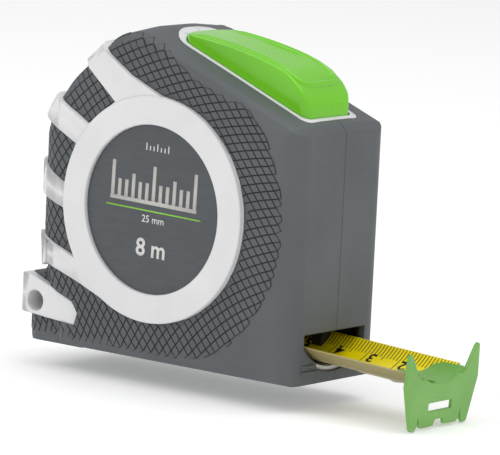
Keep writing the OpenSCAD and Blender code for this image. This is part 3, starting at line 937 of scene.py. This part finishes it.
class TAPE_OT_hook(bpy.types.Operator):
    """Painted end hook with broken edges, and the film under the blade's tip"""

    bl_idname = "tape.hook"
    bl_label = "End hook"

    def execute(self, context):
        sizes = blade_settings()
        bm = node_copy("end_hook")
        round_edges(bm, sizes.hook_edge, lambda edge: corner(edge) > 35, sizes.segments)
        keep_inside(bm, "end_hook")
        piece = finished(bm, "painted_hook", "hook", ["hook_paint"], ["end_hook"])
        even_shading(piece)
        recoat("tip_patch", "patch_film")
        return {"FINISHED"}


# Rivets, behind the hook's outer face, and how far their heads stand off the blade
RIVETS = (13.5 * MM, 8.5 * MM)
HEAD_ABOVE = 1.35 * MM
HEAD_BELOW = 0.7 * MM


class TAPE_OT_rivets(bpy.types.Operator):
    """Rivets with domed heads that hold the hook"""

    bl_idname = "tape.rivets"
    bl_label = "Rivets"

    def execute(self, context):
        blade = Blade()
        sizes = blade.sizes
        radius = sizes.rivet_head
        top = -sizes.sag + HEAD_ABOVE
        low = -sizes.sag - sizes.thick - HEAD_BELOW
        profile = [
            (0, top + 0.55 * MM), (0.5 * radius, top + 0.5 * MM), (0.85 * radius, top + 0.32 * MM),
            (radius, top + 0.1 * MM), (0.96 * radius, top), (0.6 * radius, top),
            (0.6 * radius, low + 0.45 * MM), (0.96 * radius, low + 0.45 * MM),
            (radius, low + 0.3 * MM), (0.85 * radius, low + 0.1 * MM), (0, low),
        ]
        bm = bmesh.new()
        for behind in RIVETS:
            corners = [bm.verts.new((x, 0, z)) for x, z in profile]
            line = [bm.edges.new(pair) for pair in zip(corners, corners[1:])]
            bmesh.ops.spin(
                bm, geom=corners + line, cent=(0, 0, 0), axis=(0, 0, 1),
                angle=math.tau, steps=28, use_merge=True,
            )
            move = blade.place @ Matrix.Translation((sizes.outside - behind, 0, 0))
            for vert in bm.verts:
                if not vert.tag:
                    vert.co = move @ vert.co
                    vert.tag = True
        bmesh.ops.remove_doubles(bm, verts=bm.verts, dist=MERGE)
        bmesh.ops.recalc_face_normals(bm, faces=bm.faces)
        finished(bm, "domed_rivets", "blade", ["steel"], ["tip_rivets"], 40)
        return {"FINISHED"}


# ---------------------------------------------------------------- inside and screws


class TAPE_OT_inside(bpy.types.Operator):
    """Finishes of the screws and of the lock and reel inside the case"""

    bl_idname = "tape.inside"
    bl_label = "Screws and inside"

    def execute(self, context):
        coats = {
            "case_screws": "steel", "spindle": "steel", "button_pin": "steel",
            "rocker_pin": "steel", "brake_spring": "spring_steel", "mainspring": "spring_steel",
            "release_rocker": "inner_plastic", "brake_bar": "inner_plastic",
            "reel_drum": "inner_plastic", "drum_cover": "inner_plastic",
            "brake_pad": "brake_rubber", "blade_coil": "blade_paint",
        }
        for node, coat in coats.items():
            recoat(node, coat)
        return {"FINISHED"}


# ---------------------------------------------------------------- stage


# Lamps: name, place, size and power
LAMPS = (
    ("key_light", (-0.55, -0.75, 0.95), 0.7, 3.6),
    ("top_light", (0.25, 0.1, 1.0), 0.8, 3.4),
    ("front_light", (0.95, -0.45, 0.45), 0.6, 0.5),
)
LAMP_AIM = Vector((0.01, 0, 0.04))
SKY_POWER = 0.62
FLOOR_GAP = 0.2 * MM
FLOOR_GLOW = 0.22

# Camera: turn round the object, height and roll in degrees, distance, target and lens
CAMERA_TURN, CAMERA_HEIGHT, CAMERA_ROLL = 37.644, 8.613, 2.847
CAMERA_FAR = 1.15345
CAMERA_TARGET = Vector((0.019364, 0, 0.0357))
CAMERA_LENS = 324.9
CAMERA_SHIFT = (-0.0191, 0.001)


class TAPE_OT_stage(bpy.types.Operator):
    """Pale floor, soft lights and the camera"""

    bl_idname = "tape.stage"
    bl_label = "Stage"

    def execute(self, context):
        scene = context.scene
        scene.view_settings.view_transform = "Standard"
        bm = bmesh.new()
        bmesh.ops.create_grid(bm, x_segments=4, y_segments=4, size=4)
        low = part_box("end_hook")[0].z - FLOOR_GAP
        bmesh.ops.translate(bm, verts=bm.verts, vec=(0, 0, low))
        mesh = bpy.data.meshes.new("floor")
        bm.to_mesh(mesh)
        bm.free()
        floor = bpy.data.objects.new("floor", mesh)
        scene.collection.objects.link(floor)
        recipe = Recipe("pale_floor")
        cloud = recipe.grain(6, 2.0)
        recipe.shade(base_color=recipe.blend(cloud, (0.95, 0.95, 0.95), (0.91, 0.91, 0.915)))
        recipe.shade(roughness=0.8, emission_color=(1, 1, 1, 1), emission_strength=FLOOR_GLOW)
        mesh.materials.append(recipe.material)

        world = bpy.data.worlds.new("studio")
        world.use_nodes = True
        sky = world.node_tree.nodes["Background"]
        sky.inputs["Color"].default_value = (1, 1, 1, 1)
        sky.inputs["Strength"].default_value = SKY_POWER
        scene.world = world
        for name, place, size, power in LAMPS:
            lamp = bpy.data.lights.new(name, "AREA")
            lamp.size = size
            lamp.energy = power
            holder = bpy.data.objects.new(name, lamp)
            scene.collection.objects.link(holder)
            holder.location = place
            aim = LAMP_AIM - Vector(place)
            holder.rotation_euler = aim.to_track_quat("-Z", "Y").to_euler()

        around, height, roll = map(math.radians, (CAMERA_TURN, CAMERA_HEIGHT, CAMERA_ROLL))
        back = Vector((math.sin(around) * math.cos(height), -math.cos(around) * math.cos(height),
                       math.sin(height)))
        level = Vector((math.cos(around), math.sin(around), 0))
        right = level * math.cos(roll) + back.cross(level) * math.sin(roll)
        place = Matrix((right, back.cross(right), back)).transposed().to_4x4()
        place.translation = CAMERA_TARGET + CAMERA_FAR * back
        lens = bpy.data.cameras.new("camera")
        lens.sensor_width = 36
        lens.lens = CAMERA_LENS
        lens.shift_x, lens.shift_y = CAMERA_SHIFT
        lens.clip_end = 20
        camera = bpy.data.objects.new("camera", lens)
        camera.matrix_world = place
        scene.collection.objects.link(camera)
        scene.camera = camera
        return {"FINISHED"}


# ---------------------------------------------------------------- sidebar and start


class TAPE_PT_parts(bpy.types.Panel):
    """Buttons that build the pieces, and their settings"""

    bl_label = "Tape measure"
    bl_idname = "TAPE_PT_parts"
    bl_space_type = "VIEW_3D"
    bl_region_type = "UI"
    bl_category = "Tape measure"

    def draw(self, context):
        column = self.layout.column(align=True)
        for operator in OPERATORS:
            column.operator(operator.bl_idname)
        for scene_name, kind in SETTINGS.items():
            box = self.layout.box()
            for name in kind.__annotations__:
                box.prop(getattr(context.scene, scene_name), name)


SETTINGS = {
    "tape_case": TapeCaseSettings,
    "tape_blade": TapeBladeSettings,
    "tape_colours": TapeColourSettings,
}
OPERATORS = (
    TAPE_OT_shell, TAPE_OT_grip, TAPE_OT_tiles, TAPE_OT_mouth, TAPE_OT_button, TAPE_OT_label,
    TAPE_OT_blade, TAPE_OT_scale, TAPE_OT_hook, TAPE_OT_rivets, TAPE_OT_inside, TAPE_OT_stage,
)


def register():
    for kind in (*SETTINGS.values(), *OPERATORS, TAPE_PT_parts):
        bpy.utils.register_class(kind)
    for name, kind in SETTINGS.items():
        setattr(bpy.types.Scene, name, PointerProperty(type=kind))


def unregister():
    for name in SETTINGS:
        delattr(bpy.types.Scene, name)
    for kind in (TAPE_PT_parts, *reversed(OPERATORS), *SETTINGS.values()):
        bpy.utils.unregister_class(kind)


def main():
    register()
    for operator in OPERATORS:
        group, name = operator.bl_idname.split(".")
        getattr(getattr(bpy.ops, group), name)()


if __name__ == "__main__":
    main()
